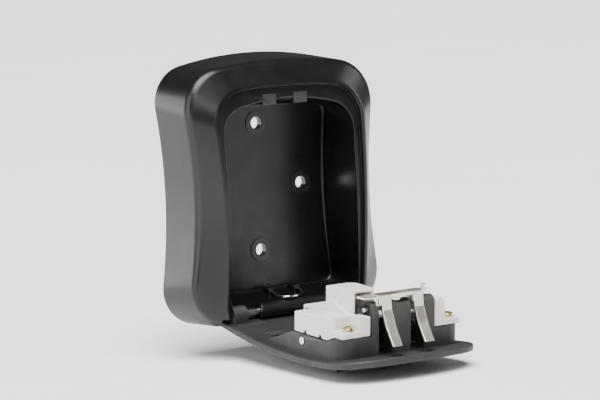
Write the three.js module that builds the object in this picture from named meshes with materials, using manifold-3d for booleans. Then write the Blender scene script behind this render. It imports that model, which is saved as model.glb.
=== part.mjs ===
// Wall-mounted key lock box with a four-wheel number lock, drop-down door open.
// Millimetres. X runs to the right, Y into the wall and Z up. The origin is the centre of
// the flat back face, so the front of the box is at negative Y.
import * as THREE from 'three';
import { mergeVertices } from 'three/addons/utils/BufferGeometryUtils.js';
import Module from 'manifold-3d';

const wasm = await Module();
wasm.setup();

// ---------- driving dimensions ----------

const gap = 0.3; // clearance between pieces that touch
const height = 115; // housing, top to bottom
const backWall = 2.8; // thickness of the wall with the mounting holes
const domeCentre = -5; // height of the most forward point of the domed front
const domeHalf = 50; // half height over which the dome falls to nothing

// Outlines of the housing, from the wall forward: half widths, heights, corner radius and
// how far each side bulges (negative: it is waisted).
const backOutline = {
  halfTop: 48.2, halfBottom: 48.2, top: height / 2, bottom: -height / 2, radius: 15.7,
  topRise: 3.6, sideRise: -3.1, bottomRise: 2,
};
const ridgeOutline = {
  halfTop: 46.6, halfBottom: 46.8, top: 54.7, bottom: -55.7, radius: 18.3,
  topRise: 1.8, sideRise: -2.95, bottomRise: 0.4,
};
const openingOutline = {
  halfTop: 37, halfBottom: 35.2, top: 45.4, bottom: -60, radius: 15.8,
  topRise: 0.9, sideRise: -0.5, bottomRise: 0,
};
// The opening runs out through the housing's foot, so its cut and the flange go on below.
const deepOpening = { ...openingOutline, bottom: -80 };
const mouthOutline = {
  halfTop: 32.4, halfBottom: 32.8, top: 38.4, bottom: -51.6, radius: 12,
  topRise: 2.5, sideRise: -0.8, bottomRise: 0.6,
};
const cavityOutline = {
  halfTop: 35.5, halfBottom: 36.4, top: 35.6, bottom: -44.6, radius: 4,
  topRise: 1.6, sideRise: -2.1, bottomRise: 0.3,
};
const ridgeDepth = 23.4; // from the wall to the ridge round the bezel
const openingDepth = 28.4; // from the wall to the rim of the opening, at its ends
const openingDome = 4.6;
const rebateWidth = 1.5; // side step between the rim and the ledge
const ledgeDepth = 26.4;

// Door, in its own frame when closed: x right, y into the wall, z up from the hinge axis.
const hinge = { y: -24.8, z: -49.6 };
const openAngle = 94; // degrees from closed
const flangeFront = -5.1; // front face at the ends, from the hinge axis
const flangeDome = 4.9;
const flangeThickness = 3;
const flangeBottom = -7.2;
const flangeOutline = {
  halfTop: 34, halfBottom: 33.3, top: 43.5, bottom: -80, radius: 16.5,
  topRise: 2, sideRise: -0.5, bottomRise: 0,
};
const trayHalf = 29.6; // half width over the tray's side walls
const trayWall = 2.2;
const trayEnd = 78.6; // outer face of the tray's end wall
const trayTop = 1.2; // upper edge of the tray's side walls
const trayRampStart = 27; // the side walls rise from the flange here
const trayRampEnd = 44;
const lugOuter = 30.6;
const lugInner = 23.8;
const barrelLeft = -16.6;
const barrelRadius = 3.35;
const pinRadius = 1.5;
const pinBoreHalf = 31.4; // the bore ends blind on each side

// Number lock, in the door's frame
const wheelPitch = 9.6;
const wheelPlaces = [-1.5, -0.5, 0.5, 1.5].map((step) => step * wheelPitch);
const wheelHalf = 3.4; // half width of a wheel
const wheelRadius = 9.6;
const wheelBore = 1.9;
const camRadius = 5.1;
const camStart = 3.7; // from the middle of its wheel
const camWidth = 1.4;
const shaft = { y: -1.6, z: 50.8, radius: 1.6 };

// Face plate and shutter
const plateHalf = 21.8;
const plateBottom = 18.4;
const plateTop = 74.5;
const plateBack = -8.6;
const plateFront = -10.6;
const railFront = -13.2;
const railHalf = 20.4; // half width between the rails

// Latch
const latchCentre = -0.8;
const latchPivot = { y: 13.6, z: 75.6 };
const latchPinRadius = 0.9;
const fingerOffset = 7.8;
const fingerPlaces = [latchCentre - fingerOffset, latchCentre + fingerOffset];
const fingerWidth = 4.5;
const latchReach = 87; // the fingers' tips
const shoulderFoot = 15.5; // the fingers are wider above this height
const sheet = 1.3; // thickness of the pressed steel
const slotHalf = 3.2; // half width of the slots that the fingers lie in
const postTop = 16.7;
const postBack = 72.5;

// ---------- materials ----------

function finish(colour, roughness, metalness) {
  return new THREE.MeshStandardMaterial({ color: colour, roughness, metalness });
}
const blackPaint = () => finish(0x17181a, 0.42, 0.1);
const charcoalCasting = () => finish(0x3a3a3b, 0.6, 0.2);
const palePlastic = () => finish(0xdcdad5, 0.45, 0);
const creamSteel = () => finish(0xd9cfb8, 0.3, 0.9);
const brightSteel = () => finish(0xc9cbcd, 0.25, 1);
const brass = () => finish(0xcbb26a, 0.3, 0.9);
const blackPlastic = () => finish(0x1d1d1e, 0.5, 0);

// ---------- helpers ----------

function solid(geometry) {
  const bare = geometry.clone();
  bare.deleteAttribute('normal');
  bare.deleteAttribute('uv');
  const merged = mergeVertices(bare, 1e-4);
  const vertProperties = new Float32Array(merged.attributes.position.array);
  const triVerts = new Uint32Array(merged.index.array);
  return new wasm.Manifold(new wasm.Mesh({ numProp: 3, vertProperties, triVerts }));
}

function geometryOf(shape) {
  const result = shape.getMesh();
  const geometry = new THREE.BufferGeometry();
  geometry.setAttribute('position', new THREE.BufferAttribute(result.vertProperties, 3));
  geometry.setIndex(new THREE.BufferAttribute(result.triVerts, 1));
  geometry.computeVertexNormals();
  return geometry;
}

function add(parent, name, shape, material) {
  const mesh = new THREE.Mesh(geometryOf(shape), material);
  mesh.name = name;
  parent.add(mesh);
}

function box(x0, x1, y0, y1, z0, z1) {
  const geometry = new THREE.BoxGeometry(x1 - x0, y1 - y0, z1 - z0);
  geometry.translate((x0 + x1) / 2, (y0 + y1) / 2, (z0 + z1) / 2);
  return solid(geometry);
}

// A round bar along X, Y or Z.
function bar(axis, radius, from, to, centre, sides = 24) {
  const geometry = new THREE.CylinderGeometry(radius, radius, to - from, sides);
  const middle = (from + to) / 2;
  if (axis === 'x') geometry.rotateZ(Math.PI / 2).translate(middle, centre[0], centre[1]);
  if (axis === 'y') geometry.translate(centre[0], middle, centre[1]);
  if (axis === 'z') geometry.rotateX(Math.PI / 2).translate(centre[0], centre[1], middle);
  return solid(geometry);
}

// A profile of [y, z] points carried along X.
function prism(points, x0, x1) {
  const shape = new THREE.Shape(points.map(([y, z]) => new THREE.Vector2(y, z)));
  const geometry = new THREE.ExtrudeGeometry(shape, { depth: x1 - x0, bevelEnabled: false });
  const turn = new THREE.Matrix4().set(0, 0, 1, x0, 1, 0, 0, 0, 0, 1, 0, 0, 0, 0, 0, 1);
  geometry.applyMatrix4(turn);
  return solid(geometry);
}

// A profile of [x, z] points carried along Y.
function plate(points, y0, y1) {
  const shape = new THREE.Shape(points.map(([x, z]) => new THREE.Vector2(x, z)));
  const geometry = new THREE.ExtrudeGeometry(shape, { depth: y1 - y0, bevelEnabled: false });
  geometry.rotateX(Math.PI / 2).translate(0, y1, 0);
  return solid(geometry);
}

// A profile of [x, y] points carried along Z.
function plateXY(points, z0, z1) {
  const shape = new THREE.Shape(points.map(([x, y]) => new THREE.Vector2(x, y)));
  const geometry = new THREE.ExtrudeGeometry(shape, { depth: z1 - z0, bevelEnabled: false });
  geometry.translate(0, 0, z0);
  return solid(geometry);
}

function wire(points, radius, steps, sides = 8, closed = false) {
  const curve = new THREE.CatmullRomCurve3(points.map((p) => new THREE.Vector3(...p)), closed);
  const section = new THREE.Shape();
  section.absarc(0, 0, radius, 0, 2 * Math.PI, false);
  return solid(new THREE.ExtrudeGeometry(section, {
    steps, curveSegments: sides / 2, extrudePath: curve, bevelEnabled: false,
  }));
}

function joined(shapes) {
  return shapes.reduce((whole, shape) => whole.add(shape));
}

// Points of an arc over a chord, bulging by `rise` to its left and pushed out by `offset`.
function arc(start, end, rise, offset, from, to, steps) {
  const chord = Math.hypot(end[0] - start[0], end[1] - start[1]);
  const normal = [-(end[1] - start[1]) / chord, (end[0] - start[0]) / chord];
  const points = [];
  for (let i = 0; i <= steps; i++) {
    const t = from + ((to - from) * i) / steps;
    const along = (t - 0.5) * chord;
    const bulge = rise * (1 - (2 * t - 1) ** 2);
    const slope = (-8 * rise * (t - 0.5)) / chord;
    const length = Math.hypot(1, slope);
    const out = bulge + offset / length;
    const shift = along - (offset * slope) / length;
    points.push([
      (start[0] + end[0]) / 2 + (shift * (end[0] - start[0])) / chord + out * normal[0],
      (start[1] + end[1]) / 2 + (shift * (end[1] - start[1])) / chord + out * normal[1],
    ]);
  }
  return points;
}

// Corner points between two arc ends, both at `radius` from the corner's centre.
function corner(centre, radius, before, after, steps) {
  const first = Math.atan2(before[1] - centre[1], before[0] - centre[0]);
  let last = Math.atan2(after[1] - centre[1], after[0] - centre[0]);
  if (last > first) last -= 2 * Math.PI;
  const points = [];
  for (let i = 1; i < steps; i++) {
    const angle = first + ((last - first) * i) / steps;
    points.push([centre[0] + radius * Math.cos(angle), centre[1] + radius * Math.sin(angle)]);
  }
  return points;
}

// Right half of a waisted outline, from its top centre to its bottom centre.
// `inset` moves the whole outline inward by that much.
function halfOutline(size, inset = 0) {
  const { radius } = size;
  const topCorner = [size.halfTop - radius, size.top - radius - size.topRise];
  const bottomCorner = [size.halfBottom - radius, size.bottom + radius + size.bottomRise];
  const reach = radius - inset;
  const mirror = (p) => [-p[0], p[1]];
  const top = arc(mirror(topCorner), topCorner, size.topRise, reach, 0.5, 1, 5);
  const side = arc(topCorner, bottomCorner, size.sideRise, reach, 0, 1, 12);
  const bottom = arc(bottomCorner, mirror(bottomCorner), size.bottomRise, reach, 0, 0.5, 5);
  return [
    ...top,
    ...corner(topCorner, reach, top.at(-1), side[0], 7),
    ...side,
    ...corner(bottomCorner, reach, side.at(-1), bottom[0], 7),
    ...bottom,
  ];
}

// How far the domed front stands forward of its ends, at a height.
function dome(rise, z) {
  const t = Math.min(1, Math.abs(z - domeCentre) / domeHalf);
  return rise * (1 - t * t);
}

// A closed body through symmetric rings. A ring is a right half and its depth, which is a
// number or a function of height.
function loft(rings) {
  const positions = [];
  const triangles = [];
  const half = rings[0].half.length;
  const count = 2 * half - 2;
  for (const { half: points, y } of rings) {
    for (let i = 0; i < count; i++) {
      const point = points[i < half ? i : count - i];
      const depth = typeof y === 'function' ? y(point[1]) : y;
      const middle = i === 0 || i === half - 1;
      positions.push(middle ? 0 : i < half ? point[0] : -point[0], depth, point[1]);
    }
  }
  for (let ring = 0; ring + 1 < rings.length; ring++) {
    for (let i = 0; i < count; i++) {
      const a = ring * count + i;
      const b = ring * count + ((i + 1) % count);
      triangles.push(a, a + count, b, b, a + count, b + count);
    }
  }
  // The ends are closed by strips between each point and its mirror image.
  const close = (base, backwards) => {
    for (let i = 0; i < half - 1; i++) {
      const here = base + i;
      const next = here + 1;
      const mirrored = base + ((count - i) % count);
      const nextMirrored = base + count - i - 1;
      const strips = [];
      if (i > 0) strips.push([mirrored, here, next]);
      if (i < half - 2) strips.push([mirrored, next, nextMirrored]);
      for (const strip of strips) triangles.push(...(backwards ? strip.reverse() : strip));
    }
  };
  close(0, false);
  close((rings.length - 1) * count, true);
  const geometry = new THREE.BufferGeometry();
  geometry.setAttribute('position', new THREE.Float32BufferAttribute(positions, 3));
  geometry.setIndex(triangles);
  return solid(geometry);
}

// ---------- housing ----------

const part = new THREE.Group();

function openingY(z) {
  return -openingDepth - dome(openingDome, z);
}

function ledgeY(z) {
  return -ledgeDepth - dome(openingDome, z);
}

function housingShell() {
  const back = halfOutline(backOutline);
  const ridge = halfOutline(ridgeOutline);
  const edge = 0.8;
  const rear = loft([
    { half: halfOutline(backOutline, edge), y: 0 },
    { half: back, y: -edge },
    { half: ridge, y: -ridgeDepth },
  ]);
  const bezel = loft([
    { half: ridge, y: -ridgeDepth },
    { half: halfOutline(openingOutline), y: openingY },
  ]);
  const trimmedBezel = bezel.intersect(loft([
    { half: ridge, y: -ridgeDepth + 1 },
    { half: ridge, y: -openingDepth - 2 * openingDome },
  ]));
  return rear.add(trimmedBezel);
}

function housingHollow() {
  const front = -openingDepth - 2 * openingDome;
  const rebate = loft([
    { half: halfOutline(deepOpening, rebateWidth), y: ledgeY },
    { half: halfOutline(deepOpening, rebateWidth - 0.3), y: front },
  ]);
  const cavity = loft([
    { half: halfOutline(cavityOutline), y: -backWall },
    { half: halfOutline(mouthOutline), y: ledgeY },
    { half: halfOutline(mouthOutline), y: (z) => ledgeY(z) - 1 },
  ]);
  return rebate.add(cavity);
}

// The casting is hollow behind the bezel: a channel open to the wall, crossed by ribs.
function rearChannel() {
  const depth = 12.5;
  const skin = 3;
  const outer = loft([
    { half: halfOutline(backOutline, skin), y: 1 },
    { half: halfOutline(backOutline, skin + 0.8), y: -depth },
  ]);
  const inner = loft([
    { half: halfOutline(cavityOutline, -skin), y: 2 },
    { half: halfOutline(cavityOutline, -skin - 0.5), y: -depth - 1 },
  ]);
  const half = 60;
  const rib = 1.1;
  const ribs = [-24, 0, 24].flatMap((place) => [
    box(place - rib, place + rib, -depth - 2, 3, -half, half),
    box(-half, half, -depth - 2, 3, place - rib, place + rib),
  ]);
  return outer.subtract(joined([inner, ...ribs]));
}

const mountingHoles = [[0, 27.2], [0, -27.2], [21.6, 0], [-21.6, 0]];
const holeRadius = 2.6;
const seatRadius = 5.2; // low round pad that a wall screw's head sits on
const seatHeight = 0.4;

function housing() {
  let body = housingShell().subtract(housingHollow()).subtract(rearChannel());
  // Room under the floor for the door's lower edge as it swings down.
  const swing = 36;
  body = body.subtract(box(-swing, swing, -45, hinge.y + 9, -80, hinge.z - 1.3));
  const axis = [hinge.y, hinge.z];
  const web = box(barrelLeft, -barrelLeft + 6.6, hinge.y, hinge.y + 5, hinge.z - 1.8, hinge.z + 1);
  body = body.add(joined([
    bar('x', barrelRadius, barrelLeft, -barrelLeft + 6.6, axis),
    web,
  ]));
  // Pockets for the door's lugs, and the pin's bore.
  body = body.subtract(joined([
    bar('x', 5, -lugOuter - 0.8, barrelLeft, axis),
    bar('x', 5, lugInner - 0.6, lugOuter + 0.8, axis),
    bar('x', pinRadius + gap, -pinBoreHalf, pinBoreHalf, axis, 16),
  ]));
  const seatFace = -backWall - seatHeight;
  body = body.add(joined(mountingHoles.map((hole) => bar('y', seatRadius, seatFace, -1, hole, 32))));
  body = body.subtract(joined(mountingHoles.map((hole) => bar('y', holeRadius, -9, 1, hole))));
  // A strike for each finger of the latch hangs from the mouth's upper edge, with a pocket
  // behind it.
  const strikeBack = -25.1;
  const catches = fingerPlaces.map((middle) => [middle - 3.4, middle + 3.4]);
  body = body.subtract(joined(catches.map(([x0, x1]) => box(x0, x1, strikeBack, -17.5, 34, 40))));
  body = body.add(joined(catches.map(([x0, x1]) => box(x0, x1, -27.2, strikeBack, 36.2, 41))));
  // Feet that the key hook's two ends are pressed into.
  const feet = hookEnds.map(([x, , z]) => box(x - 1.7, x + 1.7, -9, -backWall + 1, z - 3.5, z + 1.6));
  body = body.add(joined(feet));
  return body.subtract(joined(hookEnds.map(([x, , z]) => bar('y', hookRadius + gap, -9.5, -6, [x, z], 12))));
}

const hookRadius = 0.6;
const hookHeight = -45;
const hookRoute = [
  [1, -6.6], [1, -8.2], [0.9, -9.8], [-1.2, -14], [-3.8, -20], [-4.6, -24], [-2.8, -26.6],
  [1.6, -26.4], [7, -22.5], [11.4, -17], [13.6, -12], [13.8, -9.8], [13.8, -8.2], [13.8, -6.6],
].map(([x, y]) => [x, y, hookHeight]);
const hookEnds = [hookRoute[0], hookRoute.at(-1)];

add(part, 'housing', housing(), blackPaint());
add(part, 'hinge_pin', bar('x', pinRadius, -lugOuter + 1, lugOuter - 1, [hinge.y, hinge.z], 20),
  brightSteel());
add(part, 'key_hook', wire(hookRoute, hookRadius, 40), brightSteel());

// ---------- door ----------

// The door group's origin is on the hinge axis, turned to the open angle.
const door = new THREE.Group();
door.position.set(0, hinge.y, hinge.z);
door.rotation.x = THREE.MathUtils.degToRad(openAngle);
part.add(door);

function flangeY(z) {
  return flangeFront - dome(flangeDome, z + hinge.z);
}

function flangeInnerY(z) {
  return flangeY(z) + flangeThickness;
}

function flangeHalf(inset) {
  return halfOutline(flangeOutline, inset).map(([x, z]) => [x, z - hinge.z]);
}

function flange() {
  const edge = 0.6;
  const whole = loft([
    { half: flangeHalf(edge), y: flangeInnerY },
    { half: flangeHalf(0), y: (z) => flangeInnerY(z) - edge },
    { half: flangeHalf(0), y: (z) => flangeY(z) + edge },
    { half: flangeHalf(edge), y: flangeY },
  ]);
  return whole.intersect(box(-50, 50, -30, 30, flangeBottom, 120));
}

// A rounded plan of the tray, open towards the hinge.
function trayPlan(inset) {
  const half = trayHalf - inset;
  const end = trayEnd - inset;
  const radius = 7 - inset;
  const points = [[-half, trayRampStart - 4], [half, trayRampStart - 4]];
  for (let i = 0; i <= 6; i++) {
    const angle = (i / 6) * (Math.PI / 2);
    points.push([half - radius + radius * Math.cos(angle), end - radius + radius * Math.sin(angle)]);
  }
  for (let i = 0; i <= 6; i++) {
    const angle = Math.PI / 2 + (i / 6) * (Math.PI / 2);
    points.push([-half + radius + radius * Math.cos(angle), end - radius + radius * Math.sin(angle)]);
  }
  return points;
}

function trayWalls() {
  const endTop = 3.2;
  const sides = prism([
    [-9, trayRampStart], [-5.5, trayRampStart], [trayTop, trayRampEnd], [trayTop, 68],
    [endTop, 73], [endTop, trayEnd + 1], [-9, trayEnd + 1],
  ], -40, 40);
  const walls = plate(trayPlan(0), -8, 6).subtract(plate(trayPlan(trayWall), -9, 7));
  return walls.intersect(sides);
}

// Three posts carry the latch's pin. Their tops are round about it.
function post(x0, x1) {
  const points = [[-6, postBack], [latchPivot.y, postBack]];
  const radius = postTop - latchPivot.y;
  const middle = (postBack + trayEnd) / 2;
  const half = (trayEnd - postBack) / 2;
  for (let i = 1; i < 8; i++) {
    const angle = Math.PI - (i / 8) * Math.PI;
    points.push([latchPivot.y + radius * Math.sin(angle), middle + half * Math.cos(angle)]);
  }
  points.push([latchPivot.y, trayEnd], [-6, trayEnd]);
  return prism(points, x0, x1);
}

const coverScrews = [[-24.4, 75.5], [24.5, 75]];
const bossRadius = 1.7;
const platformTop = 6.1; // seat of the left cover screw
const shelfTop = 6.2; // seat of the right one
const screwRadius = 1.1;

function doorCasting() {
  const [leftFinger, rightFinger] = fingerPlaces;
  const bossTop = 3.2;
  const bosses = coverScrews.map(([x, z]) => bar('y', bossRadius, -7, bossTop, [x, z], 16));
  const ribs = [17.8, 21].map((z) => box(-25.5, -16.5, -7, -4.9, z, z + 1.1));
  const lugs = [[-lugOuter, -lugInner], [lugInner, lugOuter]].flatMap(([x0, x1]) => [
    bar('x', barrelRadius, x0, x1, [0, 0]),
    box(x0, x1, flangeFront, 0, -barrelRadius, barrelRadius),
  ]);
  const lugBases = [
    box(-lugOuter, barrelLeft - gap, -6, -3.6, -3.3, 6.5),
    box(lugInner, lugOuter, -6, -2.2, -3.3, 6.5),
  ];
  let body = joined([
    flange(), trayWalls(), ...bosses, ...ribs, ...lugs, ...lugBases,
    post(-15.3, leftFinger - slotHalf),
    post(leftFinger + slotHalf, rightFinger - slotHalf),
    post(rightFinger + slotHalf, 15.6),
  ]);
  const slots = fingerPlaces.map((x) => box(x - slotHalf, x + slotHalf, -4.6, 20, 70, 90));
  const shoulderSlot = box(leftFinger - slotHalf - 0.9, leftFinger, shoulderFoot - 0.5, 20, 76.5, 90);
  const springSlot = box(-3.4, 1.8, 10.8, 20, 71, latchPivot.z + 2.1);
  const windows = wheelPlaces.map((x) => box(x - 3.9, x + 3.9, -12, -2, shaft.z - 8.8, shaft.z + 8.8));
  body = body.subtract(joined([
    ...slots, shoulderSlot, springSlot, ...windows,
    bar('x', barrelRadius + 0.4, barrelLeft - gap, lugInner - 0.1, [0, 0]),
    bar('x', latchPinRadius + gap, -20, 20, [latchPivot.y, latchPivot.z], 12),
    bar('x', shaft.radius + gap, -40, 40, [shaft.y, shaft.z], 20),
    bar('x', pinRadius + gap, -40, 40, [0, 0], 16),
    box(-plateHalf - gap, plateHalf + gap, -14, plateBack + gap, plateBottom - gap, plateTop + gap),
    box(-2.4, 2.4, -12, 0, 65.1, 72.4),
    ...coverScrews.map(([x, z]) => bar('y', screwRadius + gap, -2, 8, [x, z], 12)),
  ]));
  return body;
}

// ---------- pale covers over the lock ----------

function mechanismCover() {
  const skin = 1.5;
  const left = -29.2;
  const right = -15.7;
  const block = prism([
    [trayTop + gap, 45], [9.5, 45], [12, 78.3], [3.5, 78.3], [3.5, 72.6], [trayTop + gap, 67.6],
  ], left, right);
  const blockRoom = prism([[-3, 46.5], [8, 46.5], [10.4, 77], [-3, 77]], left + skin, right + 1);
  const roof = box(-20, 15.6, 8.5, 9.9, 38, 71.6);
  const roofEnd = box(15.6, 28.9, 8.5, 9.9, 38, 60.6);
  const hingeWall = box(-20, 27, -0.6, 9.9, 38, 39.4);
  const rightWall = box(27.4, 29.2, trayTop + gap, 9.9, trayRampEnd, 60.6);
  // A hollow tower, open towards the latch, for the post that tips the latch.
  const towerLeft = -20.2;
  const towerRight = -9.6;
  const tower = prism([
    [8.5, 53.9], [20.2, 53.9], [21.2, 60], [21.2, 72.2], [8.5, 72.2],
  ], towerLeft, towerRight);
  const towerRoom = box(towerLeft + 1.4, towerRight - 1.3, 11.5, 19.8, 62, 73);
  const postHole = box(towerLeft + 1.4, towerRight - 1.3, 4, 13, 65, 73);
  const gusset = prism([
    [9, 56], [15.2, 57.4], [15.2, 60.4], [11.2, 71.6], [9, 71.6],
  ], towerLeft - 1.9, towerLeft + 0.5);
  const ventDepth = 1.6;
  const vents = [51.4, 61.6].map((z) => box(left - 1, left + 2, 0, trayTop + ventDepth, z, z + 2));
  const [screwX, screwZ] = coverScrews[0];
  // The screw's notch takes the block's outer corner away down to a platform.
  const notchSide = -21.4;
  const notchBack = 72.6;
  const notch = box(left - 1, notchSide, platformTop, 18, notchBack, 80);
  const platform = joined([
    box(left + 0.2, notchSide, platformTop - skin, platformTop, 71, 78.1),
    box(left + 0.2, notchSide + skin, platformTop - skin, 11.4, notchBack - skin, notchBack),
    box(notchSide, notchSide + skin, platformTop - skin, 11.4, notchBack - skin, 78.1),
  ]);
  const wheelRoom = box(-18.3, right + 1, -3, 8.5, 40, 60.8);
  const shell = block.subtract(joined([blockRoom, ...vents]));
  const solids = joined([shell, roof, roofEnd, hingeWall, rightWall, tower, gusset]);
  return solids.subtract(notch).add(platform).subtract(joined([
    towerRoom, postHole, wheelRoom,
    bar('y', screwRadius + gap, 0, 12, [screwX, screwZ], 12),
    box(latchCentre - 17, right + 0.1, 11.4, 14.8, 73, 79),
  ]));
}

function endCover() {
  const left = 15.9;
  const outside = plateXY([
    [left, 3.5], [left, 15.2], [20.4, 14.7], [21.6, shelfTop], [27.8, shelfTop], [28.6, 3.5],
  ], 61, 78.3);
  const inside = plateXY([
    [left + 1.5, 1], [left + 1.5, 13.7], [19, 13.4], [20.4, shelfTop - 1.5],
    [26.6, shelfTop - 1.5], [27, 1],
  ], 60, 76.8);
  const [x, z] = coverScrews[1];
  return outside.subtract(inside).subtract(bar('y', screwRadius + gap, 0, 18, [x, z], 12));
}

function coverScrew([x, z], seat) {
  const head = bar('y', 2.6, seat + gap, seat + 1.9, [x, z], 20);
  const driveSlot = box(x - 3, x + 3, seat + 1.2, seat + 3, z - 0.35, z + 0.35);
  return head.subtract(driveSlot).add(bar('y', screwRadius, 0, seat + 1, [x, z], 12));
}

// ---------- number lock ----------

function wheel(x) {
  const grips = 10;
  let body = bar('x', wheelRadius, x - wheelHalf, x + wheelHalf, [shaft.y, shaft.z], 40);
  const notches = [];
  for (let i = 0; i < grips; i++) {
    const angle = ((i + 0.5) / grips) * 2 * Math.PI;
    const centre = [
      shaft.y + (wheelRadius + 0.5) * Math.cos(angle),
      shaft.z + (wheelRadius + 0.5) * Math.sin(angle),
    ];
    notches.push(bar('x', 1.1, x - 4, x + 4, centre, 8));
  }
  body = body.subtract(joined(notches));
  return body.subtract(bar('x', wheelBore, x - 5, x + 5, [shaft.y, shaft.z], 20));
}

function cam(x) {
  const from = x + camStart;
  const centre = [shaft.y, shaft.z];
  const disc = bar('x', camRadius, from, from + camWidth, centre, 28);
  const notch = box(from - 1, from + 3, shaft.y - 1.1, shaft.y + 1.1, shaft.z - 8, shaft.z - 2.4);
  return disc.subtract(joined([notch, bar('x', wheelBore, from - 1, from + 3, centre, 20)]));
}

function dialShaft() {
  const centre = [shaft.y, shaft.z];
  return bar('x', shaft.radius, -trayHalf - 0.1, 27.2, centre, 20)
    .add(bar('x', 3, 20.2, 21.2, centre, 20));
}

// A leaf with one finger pressed against each wheel.
function detentSpring() {
  const leaf = box(-18, 18, -6, -5.5, 61.2, 64.6);
  const fingers = wheelPlaces.map((x) => box(x - 1.6, x + 1.6, -6, 1.5, 61.2, 61.7));
  return joined([leaf, ...fingers]);
}

const slideBottom = -4.9;
const slideTop = -3.7;
const slideRail = [-20.6, -18.3];

function releaseSlide() {
  const plates = joined([
    box(slideRail[0], 6, slideBottom, slideTop, 65.4, 69.6),
    box(slideRail[0], slideRail[1], slideBottom, slideTop, 36.6, 69.6),
    box(slideRail[0], 20.4, slideBottom, slideTop, 36.6, 38.4),
    box(-26.6, slideRail[1], slideBottom, -1.4, 54.4, 55.8),
  ]);
  return plates.add(box(-18.2, -15.9, slideBottom, 18.6, 67.4, 69.6));
}

// The teeth stop just short of the cams when the slide is up.
const toothReach = 3.1;

function lockingComb() {
  const spine = box(-12, 20.4, slideTop + gap, -1, 36.7, 38.1);
  const teeth = wheelPlaces.map((x) => {
    const from = x + camStart + 0.1;
    return box(from, from + 1.2, shaft.y - 0.6, shaft.y + 0.6, 38, shaft.z - camRadius - toothReach);
  });
  return joined([spine, ...teeth]);
}

function releaseButton() {
  const pad = box(-7, 7, -12.7, plateFront - gap, 65.2, 70);
  const ridges = [-1.4, 0, 1.4].map((z) => box(-6, 6, -13.1, -12, 67.3 + z, 67.9 + z));
  return joined([pad, box(-1.9, 1.9, -12, slideBottom - gap, 65.6, 69.4), ...ridges]);
}

// A helix of wire along an axis through `centre`.
function coil(axis, radius, wireRadius, from, to, centre, turns) {
  const points = [];
  const perTurn = 10;
  for (let i = 0; i <= turns * perTurn; i++) {
    const angle = (i / perTurn) * 2 * Math.PI;
    const along = from + ((to - from) * i) / (turns * perTurn);
    const a = radius * Math.cos(angle);
    const b = radius * Math.sin(angle);
    points.push(axis === 'x'
      ? [along, centre[0] + a, centre[1] + b]
      : [centre[0] + a, centre[1] + b, along]);
  }
  return wire(points, wireRadius, turns * perTurn, 6);
}

// ---------- face plate and shutter ----------

function faceplate() {
  const base = box(-plateHalf, plateHalf, plateFront, plateBack, plateBottom, plateTop);
  const rails = [-1, 1].flatMap((side) => {
    const inner = side * railHalf;
    const outer = side * plateHalf;
    const lip = side * (railHalf - 1);
    return [
      box(Math.min(inner, outer), Math.max(inner, outer), railFront, plateFront, plateBottom, 64),
      box(Math.min(lip, outer), Math.max(lip, outer), railFront, railFront + 0.7, plateBottom, 64),
    ];
  });
  const windows = wheelPlaces.map((x) => box(x - 3.9, x + 3.9, -14, -8, shaft.z - 6.6, shaft.z + 6.6));
  return joined([base, ...rails]).subtract(joined([
    ...windows,
    box(-2.4, 2.4, -14, -8, 65.1, 72.8),
  ]));
}

function shutter() {
  const leaf = box(-railHalf + gap, railHalf - gap, -12.2, -11.5, 39.6, 62.4);
  const grip = box(-18.8, 18.8, -13, -12, 41, 61);
  const grooves = [0, 1, 2, 3].map((i) => box(-16, 16, -14, -12.5, 43.4 + 4.8 * i, 44.6 + 4.8 * i));
  return leaf.add(grip).subtract(joined(grooves));
}

// ---------- latch ----------

function latchPlate() {
  const top = 19.4;
  const knees = [[top, 78.9], [13.3, 79.7], [7.2, 82.4], [0.2, latchReach]];
  const strip = [...knees, ...knees.map(([y, z]) => [y, z - sheet]).reverse()];
  const shoulder = [
    [top, 78.9], [shoulderFoot, 79.4], [shoulderFoot, 79.4 - sheet], [top, 78.9 - sheet],
  ];
  const shoulderWidths = [1.4, 0.6];
  const left = latchCentre - fingerOffset - fingerWidth / 2;
  const right = latchCentre + fingerOffset + fingerWidth / 2;
  const pieces = [
    box(left - 1.4, right, top - sheet, top, 73.8, 78.8),
    box(-18.8, left + 1, top - sheet, top - 0.5, 72.6, 77.8),
    box(right - 1, 12.2, top - sheet, top, 74.6, 77.4),
    box(11, 12.2, top - sheet, 21.3, 74.8, 77.2),
  ];
  for (const [index, x] of fingerPlaces.entries()) {
    pieces.push(prism(strip, x - fingerWidth / 2, x + fingerWidth / 2));
    pieces.push(prism(shoulder, x - fingerWidth / 2 - shoulderWidths[index], x));
    const inner = index === 0 ? x + fingerWidth / 2 - sheet : x - fingerWidth / 2;
    pieces.push(prism([
      [top - 0.5, 73.8], [11.6, 73.6], [11.6, 79.6], [13.8, 79.2], [top - 0.5, 77.8],
    ], inner, inner + sheet));
  }
  const pivot = [latchPivot.y, latchPivot.z];
  return joined(pieces).subtract(bar('x', latchPinRadius + gap, -20, 20, pivot, 12));
}

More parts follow.
